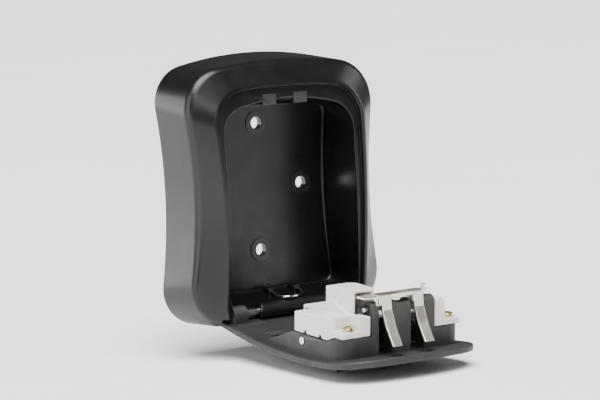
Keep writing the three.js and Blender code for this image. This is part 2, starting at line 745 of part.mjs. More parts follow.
add(door, 'door_casting', doorCasting(), charcoalCasting());
add(door, 'mechanism_cover', mechanismCover(), palePlastic());
add(door, 'end_cover', endCover(), palePlastic());
add(door, 'cover_screw_left', coverScrew(coverScrews[0], platformTop), brass());
add(door, 'cover_screw_right', coverScrew(coverScrews[1], shelfTop), brass());
wheelPlaces.forEach((x, i) => {
  add(door, `dial_${i + 1}`, wheel(x), blackPlastic());
  add(door, `cam_${i + 1}`, cam(x), brass());
});
add(door, 'dial_shaft', dialShaft(), brightSteel());
add(door, 'reset_spring', coil('x', 2.3, 0.35, 21.8, 26.8, [shaft.y, shaft.z], 4), brightSteel());
add(door, 'detent_spring', detentSpring(), brightSteel());
add(door, 'release_slide', releaseSlide(), brightSteel());
add(door, 'locking_comb', lockingComb(), brightSteel());
add(door, 'release_button', releaseButton(), blackPlastic());
add(door, 'release_spring', coil('z', 1.4, 0.3, 56.4, 72.9, [-24.9, -3], 8), brightSteel());
add(door, 'faceplate', faceplate(), blackPlastic());
add(door, 'shutter', shutter(), blackPlastic());
add(door, 'latch_plate', latchPlate(), creamSteel());
add(door, 'latch_pin', bar('x', latchPinRadius, -17.3, 15.4, [latchPivot.y, latchPivot.z], 16),
  brightSteel());
add(door, 'latch_spring', coil('x', 1.5, 0.3, -2.9, 1.3, [latchPivot.y, latchPivot.z], 4),
  brightSteel());

export default part;
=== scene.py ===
import math

import bmesh
import bpy
from mathutils import Matrix, Vector


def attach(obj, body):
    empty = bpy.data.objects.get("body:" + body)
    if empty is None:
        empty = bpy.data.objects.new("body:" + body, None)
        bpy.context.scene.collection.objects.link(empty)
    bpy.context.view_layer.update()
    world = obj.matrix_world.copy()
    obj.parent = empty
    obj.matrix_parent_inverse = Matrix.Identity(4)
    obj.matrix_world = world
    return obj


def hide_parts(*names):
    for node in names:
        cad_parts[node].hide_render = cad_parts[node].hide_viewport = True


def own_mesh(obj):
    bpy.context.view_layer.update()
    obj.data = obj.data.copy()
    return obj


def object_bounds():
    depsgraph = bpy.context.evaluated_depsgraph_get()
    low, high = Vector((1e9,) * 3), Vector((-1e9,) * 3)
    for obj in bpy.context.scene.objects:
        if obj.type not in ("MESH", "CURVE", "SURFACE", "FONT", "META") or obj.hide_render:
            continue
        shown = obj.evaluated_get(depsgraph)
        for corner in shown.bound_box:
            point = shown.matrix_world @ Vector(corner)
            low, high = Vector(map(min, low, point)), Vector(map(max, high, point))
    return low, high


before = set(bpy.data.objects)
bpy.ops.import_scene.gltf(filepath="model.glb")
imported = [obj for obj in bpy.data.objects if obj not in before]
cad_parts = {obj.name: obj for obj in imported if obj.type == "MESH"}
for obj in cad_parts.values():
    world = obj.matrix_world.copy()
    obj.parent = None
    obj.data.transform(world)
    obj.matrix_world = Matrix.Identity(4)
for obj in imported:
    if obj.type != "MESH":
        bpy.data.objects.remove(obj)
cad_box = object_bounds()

# A wall-mounted key lock box with its door open. The frame is in metres; shapes are drawn in
# millimetres and scaled when a piece is made. The door's pieces are drawn in its own frame.

MM = 0.001

# ---------- driving dimensions, in millimetres ----------

HINGE = Vector((0, -24.8, -49.6))  # a point on the door's hinge axis
OPEN_ANGLE = math.radians(94)
DOOR = Matrix.Translation(HINGE) @ Matrix.Rotation(OPEN_ANGLE, 4, "X")
GAP = 0.3
BACK_WALL = 2.8
WIDE_FACE = 900  # square millimetres: a flat face larger than this keeps hard borders
RIDGE_DEPTH = 23.4
OPENING_DEPTH = 28.4
OPENING_DOME = 4.6
LEDGE_DEPTH = 26.1
REBATE = 1.5
DOME_CENTRE = -5
DOME_HALF = 50
HOLE_RADIUS = 2.6
SEAT_RADIUS = 5.2  # a low pad round each mounting hole
SEAT_FACE = -3.2
MOUNTING_HOLES = [(0, 27.2), (0, -27.2), (21.6, 0), (-21.6, 0)]
BARREL_RADIUS = 3.35
BARREL_LEFT = -16.6
BARREL_RIGHT = 23.2
PIN_RADIUS = 1.5
PIN_BORE_HALF = 31.4
LUG_OUTER = 30.6
LUG_INNER = 23.8

# Outlines of the housing: half widths, heights, corner radius, and how far sides bulge.
BACK = dict(top_half=48.2, foot_half=48.2, top=57.5, foot=-57.5, radius=15.7,
            top_rise=3.6, side_rise=-3.1, foot_rise=2)
RIDGE = dict(top_half=46.6, foot_half=46.8, top=54.7, foot=-55.7, radius=18.3,
             top_rise=1.8, side_rise=-2.95, foot_rise=0.4)
OPENING = dict(top_half=37, foot_half=35.2, top=45.4, foot=-60, radius=15.8,
               top_rise=0.9, side_rise=-0.5, foot_rise=0)
DEEP_OPENING = dict(OPENING, foot=-80)
MOUTH = dict(top_half=32.4, foot_half=32.8, top=38.4, foot=-51.6, radius=12,
             top_rise=2.5, side_rise=-0.8, foot_rise=0.6)
CAVITY = dict(top_half=35.5, foot_half=36.4, top=35.6, foot=-44.6, radius=4,
              top_rise=1.6, side_rise=-2.1, foot_rise=0.3)

# Number lock, in the door's own frame: x right, y into the wall and z up when it is shut.
WHEEL_PITCH = 9.6
WHEELS = [(step - 1.5) * WHEEL_PITCH for step in range(4)]
WHEEL_HALF = 3.4
WHEEL_RADIUS = 9.6
WHEEL_BORE = 1.9
SHAFT = (-1.6, 50.8)
RAIL_HALF = 20.4  # half width between the shutter's rails
LATCH_PIVOT = (13.6, 75.6)

# The latch's two fingers, and what they catch on in the housing
FINGERS = (-8.6, 7.0)
CATCH_HALF = 3.4
STRIKE_FRONT = -27.2
STRIKE_BACK = -25.1
CATCH_BACK = -17.5


# ---------- making pieces ----------

def new_piece(name, mesh):
    piece = bpy.data.objects.new(name, mesh)
    bpy.context.scene.collection.objects.link(piece)
    return piece


def from_bmesh(name, bm):
    mesh = bpy.data.meshes.new(name)
    bmesh.ops.recalc_face_normals(bm, faces=bm.faces)
    bm.to_mesh(mesh)
    bm.free()
    return new_piece(name, mesh)


def baked(piece):
    """Puts the result of a piece's modifiers into its mesh."""
    bpy.context.view_layer.update()
    graph = bpy.context.evaluated_depsgraph_get()
    mesh = bpy.data.meshes.new_from_object(piece.evaluated_get(graph))
    piece.modifiers.clear()
    piece.data = mesh
    return piece


def combine(target, others, operation):
    for other in others:
        modifier = target.modifiers.new("combine", "BOOLEAN")
        modifier.operation = operation
        modifier.solver = "MANIFOLD"
        modifier.object = other
        baked(target)
        bpy.data.objects.remove(other)
    return target


def cut(target, *others):
    return combine(target, others, "DIFFERENCE")


def unite(target, *others):
    return combine(target, others, "UNION")


def box(x0, x1, y0, y1, z0, z1, edge=0.0):
    bm = bmesh.new()
    bmesh.ops.create_cube(bm, size=1)
    for vert in bm.verts:
        vert.co = Vector((
            x1 if vert.co.x > 0 else x0,
            y1 if vert.co.y > 0 else y0,
            z1 if vert.co.z > 0 else z0,
        ))
    if edge:
        bmesh.ops.bevel(bm, geom=bm.edges, offset=edge, segments=3, profile=0.5,
                        affect="EDGES", clamp_overlap=True)
    return from_bmesh("box", bm)


def turned(profile, axis, centre, sides=48):
    """A body of revolution. `profile` is a list of (along, radius); it starts and ends at 0."""
    bm = bmesh.new()
    rings = []
    for along, radius in profile:
        if radius == 0:
            rings.append([bm.verts.new(place(axis, along, 0, 0, centre))])
            continue
        ring = []
        for i in range(sides):
            angle = 2 * math.pi * i / sides
            a, b = radius * math.cos(angle), radius * math.sin(angle)
            ring.append(bm.verts.new(place(axis, along, a, b, centre)))
        rings.append(ring)
    for one, two in zip(rings, rings[1:]):
        for i in range(sides):
            j = (i + 1) % sides
            quad = [one[i % len(one)], one[j % len(one)], two[j % len(two)], two[i % len(two)]]
            bm.faces.new(list(dict.fromkeys(quad)))
    return from_bmesh("turned", bm)


def place(axis, along, a, b, centre):
    if axis == "x":
        return Vector((along, centre[0] + a, centre[1] + b))
    if axis == "y":
        return Vector((centre[0] + a, along, centre[1] + b))
    return Vector((centre[0] + a, centre[1] + b, along))


def rod(axis, radius, start, end, centre, edge=0.2, sides=48):
    profile = [
        (start, 0), (start, radius - edge), (start + 0.3 * edge, radius - 0.3 * edge),
        (start + edge, radius), (end - edge, radius), (end - 0.3 * edge, radius - 0.3 * edge),
        (end, radius - edge), (end, 0),
    ]
    return turned(profile, axis, centre, sides)


def tube(name, points, radius, closed=False):
    """A round wire through points, smoothed as one curve."""
    curve = bpy.data.curves.new(name, "CURVE")
    curve.dimensions = "3D"
    curve.resolution_u = 6
    curve.bevel_depth = radius
    curve.bevel_resolution = 5
    curve.use_fill_caps = True
    spline = curve.splines.new("NURBS")
    spline.points.add(len(points) - 1)
    for point, where in zip(spline.points, points):
        point.co = (*where, 1)
    spline.order_u = 4
    spline.use_endpoint_u = True
    spline.use_cyclic_u = closed
    piece = new_piece(name, curve)
    bpy.context.view_layer.update()
    graph = bpy.context.evaluated_depsgraph_get()
    mesh = bpy.data.meshes.new_from_object(piece.evaluated_get(graph))
    bpy.data.objects.remove(piece)
    return new_piece(name, mesh)


def smooth(piece, angle=32, wide=None):
    """Smooth shading that keeps edges sharper than an angle, and those of wide flat faces."""
    limit = math.radians(angle)
    wide = wide or math.inf
    bm = bmesh.new()
    bm.from_mesh(piece.data)
    for face in bm.faces:
        face.smooth = True
    for edge in bm.edges:
        bounds_flat = any(face.calc_area() > wide for face in edge.link_faces)
        edge.smooth = edge.calc_face_angle(0) < limit and not bounds_flat
    bm.to_mesh(piece.data)
    bm.free()
    modifier = piece.modifiers.new("normals", "WEIGHTED_NORMAL")
    modifier.keep_sharp = True
    return piece


def flattened(piece):
    """Joins the faces of a flat wall into one."""
    bm = bmesh.new()
    bm.from_mesh(piece.data)
    bmesh.ops.dissolve_limit(bm, angle_limit=math.radians(0.3), verts=bm.verts, edges=bm.edges)
    bm.to_mesh(piece.data)
    bm.free()
    return piece


def softened(piece, width, segments=2, angle=30):
    """Rounds every edge sharper than an angle, as casting, moulding or tumbling does."""
    modifier = piece.modifiers.new("edges", "BEVEL")
    modifier.width = width
    modifier.segments = segments
    modifier.limit_method = "ANGLE"
    modifier.angle_limit = math.radians(angle)
    modifier.use_clamp_overlap = False
    modifier.miter_outer = "MITER_ARC"
    baked(piece)
    return piece


def finished(piece, name, body, material, nodes, door=False):
    """Scales a piece drawn in millimetres, sets it in the door if asked, gives it its material and
    attaches it to its body in place of its CAD nodes.
    """
    piece.name = name
    piece.data.name = name
    matrix = Matrix.Scale(MM, 4)
    if door:
        matrix = matrix @ DOOR
    piece.data.transform(matrix)
    piece.data.materials.clear()
    piece.data.materials.append(material)
    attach(piece, body)
    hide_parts(*nodes)
    return piece


def refined(node, body, material, width=0.25, segments=2, angle=30, crease=32):
    """A CAD node's shape with clean faces, rounded edges and smooth shading."""
    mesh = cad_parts[node].data.copy()
    piece = new_piece(node + "_finished", mesh)
    bm = bmesh.new()
    bm.from_mesh(mesh)
    bmesh.ops.remove_doubles(bm, verts=bm.verts, dist=0.01 * MM)
    bmesh.ops.dissolve_limit(bm, angle_limit=math.radians(0.6), verts=bm.verts, edges=bm.edges)
    bmesh.ops.dissolve_degenerate(bm, dist=0.02 * MM, edges=bm.edges)
    for layer in list(bm.loops.layers.uv):
        bm.loops.layers.uv.remove(layer)
    bm.to_mesh(mesh)
    bm.free()
    if width:
        softened(piece, width * MM, segments, angle)
    smooth(piece, crease)
    piece.data.materials.clear()
    piece.data.materials.append(material)
    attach(piece, body)
    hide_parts(node)
    return piece


# ---------- outlines and lofts ----------

def arc(start, end, rise, offset, first, last, steps):
    """Points of a bulging side, pushed out by an offset."""
    dx, dz = end[0] - start[0], end[1] - start[1]
    chord = math.hypot(dx, dz)
    points = []
    for i in range(steps + 1):
        t = first + (last - first) * i / steps
        bulge = rise * (1 - (2 * t - 1) ** 2)
        slope = -8 * rise * (t - 0.5) / chord
        length = math.hypot(1, slope)
        out = bulge + offset / length
        along = (t - 0.5) * chord - offset * slope / length
        points.append((
            (start[0] + end[0]) / 2 + (along * dx - out * dz) / chord,
            (start[1] + end[1]) / 2 + (along * dz + out * dx) / chord,
        ))
    return points


def corner(centre, radius, before, after, steps):
    first = math.atan2(before[1] - centre[1], before[0] - centre[0])
    last = math.atan2(after[1] - centre[1], after[0] - centre[0])
    if last > first:
        last -= 2 * math.pi
    points = []
    for i in range(1, steps):
        angle = first + (last - first) * i / steps
        points.append((centre[0] + radius * math.cos(angle), centre[1] + radius * math.sin(angle)))
    return points


def half_outline(size, inset=0.0):
    """Right half of an outline, from its top centre to its foot's centre."""
    radius = size["radius"]
    top = (size["top_half"] - radius, size["top"] - radius - size["top_rise"])
    foot = (size["foot_half"] - radius, size["foot"] + radius + size["foot_rise"])
    reach = radius - inset
    upper = arc((-top[0], top[1]), top, size["top_rise"], reach, 0.5, 1, 10)
    side = arc(top, foot, size["side_rise"], reach, 0, 1, 26)
    lower = arc(foot, (-foot[0], foot[1]), size["foot_rise"], reach, 0, 0.5, 10)
    return (upper + corner(top, reach, upper[-1], side[0], 14) + side
            + corner(foot, reach, side[-1], lower[0], 14) + lower)


def dome(rise, z):
    t = min(1, abs(z - DOME_CENTRE) / DOME_HALF)
    return rise * (1 - t * t)


def ring(outline, depth):
    """A half outline at a depth, which is a number or a function of height."""
    return [Vector((x, depth(z) if callable(depth) else depth, z)) for x, z in outline]


def toward(point, other, distance):
    step = other - point
    return point + step * min(0.48, distance / max(step.length, 1e-6))


def filleted(controls, steps=4):
    """Rings through control rings, each (ring, fillet) rounded off by its fillet."""
    rings = []
    for i, (points, fillet) in enumerate(controls):
        if not fillet:
            rings.append(points)
            continue
        before, after = controls[i - 1][0], controls[i + 1][0]
        for step in range(steps + 1):
            t = step / steps
            rings.append([
                toward(p, a, fillet) * (1 - t) ** 2 + p * 2 * t * (1 - t) + toward(p, b, fillet) * t * t
                for p, a, b in zip(points, before, after)
            ])
    return rings


def loft(rings):
    """A closed body through half rings, mirrored left to right."""
    bm = bmesh.new()
    half = len(rings[0])
    count = 2 * half - 2
    loops = []
    for points in rings:
        loop = []
        for i in range(count):
            p = points[i if i < half else count - i]
            x = 0 if i in (0, half - 1) else p.x if i < half else -p.x
            loop.append(bm.verts.new((x, p.y, p.z)))
        loops.append(loop)
    for one, two in zip(loops, loops[1:]):
        for i in range(count):
            j = (i + 1) % count
            bm.faces.new([one[i], one[j], two[j], two[i]])
    for loop in (loops[0], loops[-1]):
        for i in range(half - 1):
            quad = [loop[i], loop[i + 1], loop[count - i - 1], loop[(count - i) % count]]
            bm.faces.new(list(dict.fromkeys(quad)))
    return from_bmesh("loft", bm)


# ---------- materials ----------

class Painter:
    """Builds one node material, in the row frame's own coordinates."""

    def __init__(self, name):
        self.material = bpy.data.materials.new(name)
        self.material.use_nodes = True
        self.nodes = self.material.node_tree.nodes
        self.links = self.material.node_tree.links
        self.shader = self.nodes["Principled BSDF"]
        self.coords = self.nodes.new("ShaderNodeTexCoord").outputs["Object"]

    def noise(self, scale, detail=4.0):
        node = self.nodes.new("ShaderNodeTexNoise")
        node.inputs["Scale"].default_value = scale
        node.inputs["Detail"].default_value = detail
        node.inputs["Roughness"].default_value = 0.55
        self.links.new(self.coords, node.inputs["Vector"])
        return node.outputs["Fac"]

    def cells(self, scale):
        node = self.nodes.new("ShaderNodeTexVoronoi")
        node.inputs["Scale"].default_value = scale
        self.links.new(self.coords, node.inputs["Vector"])
        return node.outputs["Distance"]

    def spread(self, value, low, high, start=0.3, end=0.7):
        node = self.nodes.new("ShaderNodeMapRange")
        node.inputs["From Min"].default_value = start
        node.inputs["From Max"].default_value = end
        node.inputs["To Min"].default_value = low
        node.inputs["To Max"].default_value = high
        self.links.new(value, node.inputs["Value"])
        return node.outputs["Result"]

    def blend(self, factor, one, two):
        node = self.nodes.new("ShaderNodeMix")
        node.data_type = "RGBA"
        self.links.new(factor, node.inputs["Factor"])
        for socket, colour in ((node.inputs[6], one), (node.inputs[7], two)):
            if isinstance(colour, tuple):
                socket.default_value = (*colour, 1)
            else:
                self.links.new(colour, socket)
        return node.outputs[2]

    def edges(self, start, end):
        """Rises from 0 to 1 on outer edges."""
        pointiness = self.nodes.new("ShaderNodeNewGeometry").outputs["Pointiness"]
        return self.spread(pointiness, 0, 1, start, end)

    def bump(self, heights):
        """Layers of (height, distance in millimetres)."""
        normal = None
        for height, distance in heights:
            node = self.nodes.new("ShaderNodeBump")
            node.inputs["Strength"].default_value = 1
            node.inputs["Distance"].default_value = distance * MM
            self.links.new(height, node.inputs["Height"])
            if normal:
                self.links.new(normal, node.inputs["Normal"])
            normal = node.outputs["Normal"]
        self.links.new(normal, self.shader.inputs["Normal"])

    def set(self, **values):
        names = {"metallic": "Metallic", "specular": "Specular IOR Level",
                 "subsurface": "Subsurface Weight", "subsurface_scale": "Subsurface Scale"}
        for key, value in values.items():
            self.shader.inputs[names[key]].default_value = value

    def finish(self, colour, roughness):
        self.links.new(colour, self.shader.inputs["Base Color"])
        self.links.new(roughness, self.shader.inputs["Roughness"])
        return self.material


def satin_paint():
    p = Painter("housing_paint")
    tone = p.blend(p.spread(p.noise(38), 0, 1), (0.0026, 0.0026, 0.0027), (0.0042, 0.0042, 0.0044))
    dust = p.blend(p.spread(p.noise(1500, 2), 0, 0.2, 0.68, 0.82), tone, (0.03, 0.03, 0.029))
    worn = p.blend(p.edges(0.53, 0.6), dust, (0.014, 0.014, 0.0145))
    p.set(specular=0.4)
    p.bump([(p.noise(620, 3), 0.012), (p.noise(3200, 2), 0.006)])
    return p.finish(worn, p.spread(p.noise(120), 0.27, 0.35))


def cast_charcoal():
    p = Painter("door_casting")
    tone = p.blend(p.spread(p.noise(70), 0, 1), (0.0095, 0.0093, 0.0092), (0.0155, 0.015, 0.0148))
    grain = p.blend(p.spread(p.noise(2600, 3), 0, 0.5, 0.5, 0.75), tone, (0.034, 0.033, 0.032))
    worn = p.blend(p.edges(0.52, 0.6), grain, (0.05, 0.048, 0.046))
    p.set(specular=0.42)
    p.bump([(p.noise(900, 4), 0.03), (p.cells(2400), 0.012)])
    return p.finish(worn, p.spread(p.noise(300), 0.5, 0.62))


def moulded_pale():
    p = Painter("cover_plastic")
    tone = p.blend(p.spread(p.noise(55), 0, 1), (0.60, 0.585, 0.555), (0.66, 0.648, 0.62))
    grime = p.blend(p.spread(p.noise(420, 4), 0, 0.3, 0.62, 0.8), tone, (0.42, 0.40, 0.36))
    p.set(subsurface=0.08, subsurface_scale=0.002, specular=0.45)
    p.bump([(p.noise(1500, 3), 0.008), (p.noise(260, 2), 0.02)])
    return p.finish(grime, p.spread(p.noise(200), 0.36, 0.5))


def metal(name, one, two, low, high, grain, bump, spotted=0.25):
    p = Painter(name)
    tone = p.blend(p.spread(p.noise(grain, 4), 0, 1), one, two)
    spots = p.blend(p.spread(p.noise(700, 3), 0, spotted, 0.66, 0.8), tone,
                    tuple(0.6 * c for c in one))
    p.set(metallic=1.0)
    p.bump([(p.noise(grain * 6, 3), bump)])
    return p.finish(spots, p.spread(p.noise(grain * 2, 3), low, high))


def moulded_black():
    p = Painter("black_plastic")
    tone = p.blend(p.spread(p.noise(90), 0, 1), (0.016, 0.016, 0.017), (0.024, 0.024, 0.025))
    worn = p.blend(p.edges(0.52, 0.6), tone, (0.05, 0.05, 0.05))
    p.bump([(p.noise(2200, 3), 0.012)])
    return p.finish(worn, p.spread(p.noise(300), 0.38, 0.52))


def printed_pale():
    p = Painter("digit_paint")
    tone = p.blend(p.spread(p.noise(900, 3), 0, 1), (0.62, 0.62, 0.60), (0.75, 0.75, 0.73))
    p.bump([(p.noise(3000, 2), 0.006)])
    return p.finish(tone, p.spread(p.noise(800), 0.45, 0.6))


PAINT = satin_paint()
CASTING = cast_charcoal()
PALE = moulded_pale()
CREAM = metal("latch_steel", (0.80, 0.755, 0.66), (0.87, 0.835, 0.755), 0.3, 0.42, 90, 0.004, 0.1)
BRIGHT = metal("bright_steel", (0.62, 0.62, 0.61), (0.74, 0.74, 0.73), 0.16, 0.28, 200, 0.004)
SPRING = metal("spring_steel", (0.42, 0.42, 0.43), (0.55, 0.55, 0.55), 0.25, 0.4, 300, 0.004)
SHEET = metal("pressed_steel", (0.5, 0.5, 0.5), (0.62, 0.62, 0.61), 0.3, 0.45, 120, 0.008)
BRASS = metal("brass", (0.72, 0.55, 0.25), (0.83, 0.68, 0.36), 0.2, 0.34, 220, 0.006)
BLACK = moulded_black()
DIGITS = printed_pale()


# ---------- housing ----------

def opening_y(z):
    return -OPENING_DEPTH - dome(OPENING_DOME, z)


def ledge_y(z):
    return -LEDGE_DEPTH - dome(OPENING_DOME, z)


def kept_inside(points, outline, margin):
    """Lifts the points of a ring that fall below an outline's foot."""
    lower = sorted((x, z) for x, z in outline if z < -30)
    result = []
    for p in points:
        floor = -1e9
        for (x0, z0), (x1, z1) in zip(lower, lower[1:]):
            if x0 <= abs(p.x) <= x1 and x1 > x0:
                floor = z0 + (z1 - z0) * (abs(p.x) - x0) / (x1 - x0) + margin
        result.append(Vector((p.x, p.y, max(p.z, floor))))
    return result


def housing_shell():
    ridge = half_outline(RIDGE)
    rim = kept_inside(ring(half_outline(OPENING), opening_y), ridge, 0.15)
    lip = kept_inside(ring(half_outline(OPENING, 2.4), opening_y), half_outline(RIDGE, 0.5), 0.4)
    return loft(filleted([
        (ring(half_outline(BACK, 5), 0), 0),
        (ring(half_outline(BACK), 0), 1.0),
        (ring(ridge, -RIDGE_DEPTH), 2.6),
        (rim, 0.9),
        (lip, 0),
    ], 6))


def housing_hollow():
    return loft(filleted([
        (ring(half_outline(DEEP_OPENING, -0.4), lambda z: opening_y(z) - 4), 0),
        (ring(half_outline(DEEP_OPENING, REBATE - 0.5), lambda z: opening_y(z) - 0.1), 0.2),
        (ring(half_outline(DEEP_OPENING, REBATE), lambda z: opening_y(z) + 0.5), 0.3),
        (ring(half_outline(DEEP_OPENING, REBATE), ledge_y), 0.25),
        (ring(half_outline(MOUTH), ledge_y), 0.9),
        (ring(half_outline(CAVITY), -BACK_WALL), 1.8),
        (ring(half_outline(CAVITY, 3), -BACK_WALL), 0),
    ]))


def rear_channel():
    """The casting is hollow behind the bezel, open to the wall and crossed by ribs."""
    depth, skin, rib, half = 12.5, 3, 1.1, 60
    room = loft([
        ring(half_outline(BACK, skin), 1),
        ring(half_outline(BACK, skin + 0.8), -depth),
    ])
    inner = loft([
        ring(half_outline(CAVITY, -skin), 2),
        ring(half_outline(CAVITY, -skin - 0.5), -depth - 1),
    ])
    ribs = []
    for middle in (-24, 0, 24):
        ribs.append(box(middle - rib, middle + rib, -depth - 2, 3, -half, half))
        ribs.append(box(-half, half, -depth - 2, 3, middle - rib, middle + rib))
    return cut(room, inner, *ribs)


HOOK_HEIGHT = -45
HOOK_RADIUS = 0.6
FOOT_HALF = 1.7
HOOK_ROUTE = [
    (1, -6.6), (1, -8.2), (0.9, -9.8), (-1.2, -14), (-3.8, -20), (-4.6, -24), (-2.8, -26.6),
    (1.6, -26.4), (7, -22.5), (11.4, -17), (13.6, -12), (13.8, -9.8), (13.8, -8.2), (13.8, -6.6),
]


def make_housing():
    axis = (HINGE.y, HINGE.z)
    swing = 36  # half width of the room that the door's foot swings through
    front, below = -45, -80
    lug_room = 5
    side_play = 0.8
    body = cut(
        housing_shell(), housing_hollow(), rear_channel(),
        box(-swing, swing, front, HINGE.y + 9, below, HINGE.z - 1.3),
    )
    body = unite(
        body,
        rod("x", BARREL_RADIUS, BARREL_LEFT, BARREL_RIGHT, axis, 0.4),
        box(BARREL_LEFT, BARREL_RIGHT, HINGE.y, HINGE.y + 5, HINGE.z - 1.8, HINGE.z + 1),
    )
    body = cut(
        body,
        rod("x", lug_room, -LUG_OUTER - side_play, BARREL_LEFT, axis, 0.5),
        rod("x", lug_room, LUG_INNER - 0.6, LUG_OUTER + side_play, axis, 0.5),
        rod("x", PIN_RADIUS + GAP, -PIN_BORE_HALF, PIN_BORE_HALF, axis),
    )
    body = unite(body, *[rod("y", SEAT_RADIUS, SEAT_FACE, -1, hole, 0.15) for hole in MOUNTING_HOLES])
    body = cut(
        body,
        *[rod("y", HOLE_RADIUS, -9, 1, hole) for hole in MOUNTING_HOLES],
        *[rod("y", HOLE_RADIUS + 0.4, -9, SEAT_FACE + 0.15, hole, 0.1) for hole in MOUNTING_HOLES],
        *[box(x - CATCH_HALF, x + CATCH_HALF, STRIKE_BACK, CATCH_BACK, 34, 40, 0.3) for x in FINGERS],
    )
    feet = []
    for x in (HOOK_ROUTE[0][0], HOOK_ROUTE[-1][0]):
        low, high = HOOK_HEIGHT - 3.5, HOOK_HEIGHT + 1.6
        feet.append(box(x - FOOT_HALF, x + FOOT_HALF, -9, -BACK_WALL + 1, low, high, 0.4))
    strikes = []
    for x in FINGERS:
        strikes.append(box(x - CATCH_HALF, x + CATCH_HALF, STRIKE_FRONT, STRIKE_BACK, 36.2, 41, 0.25))
    body = unite(body, *feet, *strikes)
    smooth(flattened(body), 34, WIDE_FACE)
    return finished(body, "housing_shell", "root", PAINT, ["housing"])


make_housing()
finished(smooth(rod("x", PIN_RADIUS, -29.6, 29.6, (HINGE.y, HINGE.z), 0.25)), "hinge_pin_rod",
         "root", BRIGHT, ["hinge_pin"])
finished(smooth(tube("hook", [(x, y, HOOK_HEIGHT) for x, y in HOOK_ROUTE], HOOK_RADIUS), 60),
         "key_hook_wire", "root", BRIGHT, ["key_hook"])


# ---------- door ----------

refined("door_casting", "door", CASTING, 0.3, 2)
refined("mechanism_cover", "door", PALE, 0.45, 3)
refined("end_cover", "door", PALE, 0.4, 3)
refined("latch_plate", "latch", CREAM, 0.22, 2, 50, 6)
refined("faceplate", "door", BLACK, 0.25, 2)
refined("release_button", "release", BLACK, 0.15, 2)
refined("release_slide", "release", SHEET, 0.12, 2)
refined("locking_comb", "release", SHEET, 0.1, 2)
refined("detent_spring", "door", SPRING, 0.05, 2)
refined("dial_shaft", "shaft", BRIGHT, 0.15, 2)
refined("latch_pin", "door", BRIGHT, 0.12, 2)
for index in range(1, 5):
    refined(f"cam_{index}", f"dial_{index}_body", BRASS, 0.1, 2)


def make_shutter():
    """The sliding leaf over the number wheels, ribbed for a fingertip."""
    leaf = box(-RAIL_HALF + GAP, RAIL_HALF - GAP, -12.2, -11.5, 39.6, 62.4, 0.1)
    grip = box(-18.8, 18.8, -13, -12, 41, 61, 0.3)
    grooves = [box(-16, 16, -14, -12.5, z, z + 1.2) for z in (43.4, 48.2, 53, 57.8)]
    shutter = cut(unite(leaf, grip), *grooves)
    finished(smooth(shutter, 28), "shutter_leaf", "shutter", BLACK, ["shutter"],
             door=True)


make_shutter()


# ---------- screws, springs and number wheels ----------

SCREW_SHANK = 1.1
DRIVE_HALF = 0.33  # half width of the cross slot's arms
DRIVE_REACH = 1.6


def make_screw(name, node, x, z, seat):
    """A brass screw with a domed, cross-slotted head on its seat."""
    slot_floor = seat + 1.05
    slot_top = seat + 3
    head = turned([
        (seat + 0.3, 0), (seat + 0.3, 2.5), (seat + 0.5, 2.6), (seat + 0.9, 2.55),
        (seat + 1.4, 2.25), (seat + 1.75, 1.6), (seat + 1.88, 0.9), (seat + 1.9, 0),
    ], "y", (x, z), 40)
    slots = [
        box(x - DRIVE_REACH, x + DRIVE_REACH, slot_floor, slot_top, z - DRIVE_HALF, z + DRIVE_HALF),
        box(x - DRIVE_HALF, x + DRIVE_HALF, slot_floor, slot_top, z - DRIVE_REACH, z + DRIVE_REACH),
    ]
    screw = unite(cut(head, *slots), rod("y", SCREW_SHANK, 0, seat + 0.8, (x, z), 0.2, 32))
    finished(smooth(screw, 28), name, "door", BRASS, [node], door=True)


make_screw("cover_screw_left_head", "cover_screw_left", -24.4, 75.5, 6.1)
make_screw("cover_screw_right_head", "cover_screw_right", 24.5, 75, 6.2)


def make_coil(name, node, body, axis, radius, wire, start, end, centre, turns, pressed=None):
    """A coil spring. `pressed` names the joint meant to shorten it, and by how much in all; when it is
    given, the coil only gets a mesh of its own, and nothing here shortens it.
    """
    per_turn = 16
    count = turns * per_turn
    points = []
    for i in range(count + 1):
        angle = 2 * math.pi * i / per_turn
        t = i / count
        along = start + (end - start) * (t - math.sin(2 * math.pi * t) / (2 * math.pi) * 0.35)
        a, b = radius * math.cos(angle), radius * math.sin(angle)
        points.append(place(axis, along, a, b, centre))
    piece = smooth(tube(name, points, wire), 60)
    finished(piece, name, body, SPRING, [node], door=True)
    if pressed:
        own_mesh(piece)


make_coil("reset_spring_coil", "reset_spring", "door", "x", 2.3, 0.35, 21.8, 26.8, SHAFT, 4,
          ("code_reset", 2.2))
make_coil("release_spring_coil", "release_spring", "door", "z", 1.4, 0.3, 56.4, 72.9, (-24.9, -3), 8,
          ("release_travel", 3.0))
make_coil("latch_spring_coil", "latch_spring", "door", "x", 1.5, 0.3, -2.9, 1.3, LATCH_PIVOT, 4)


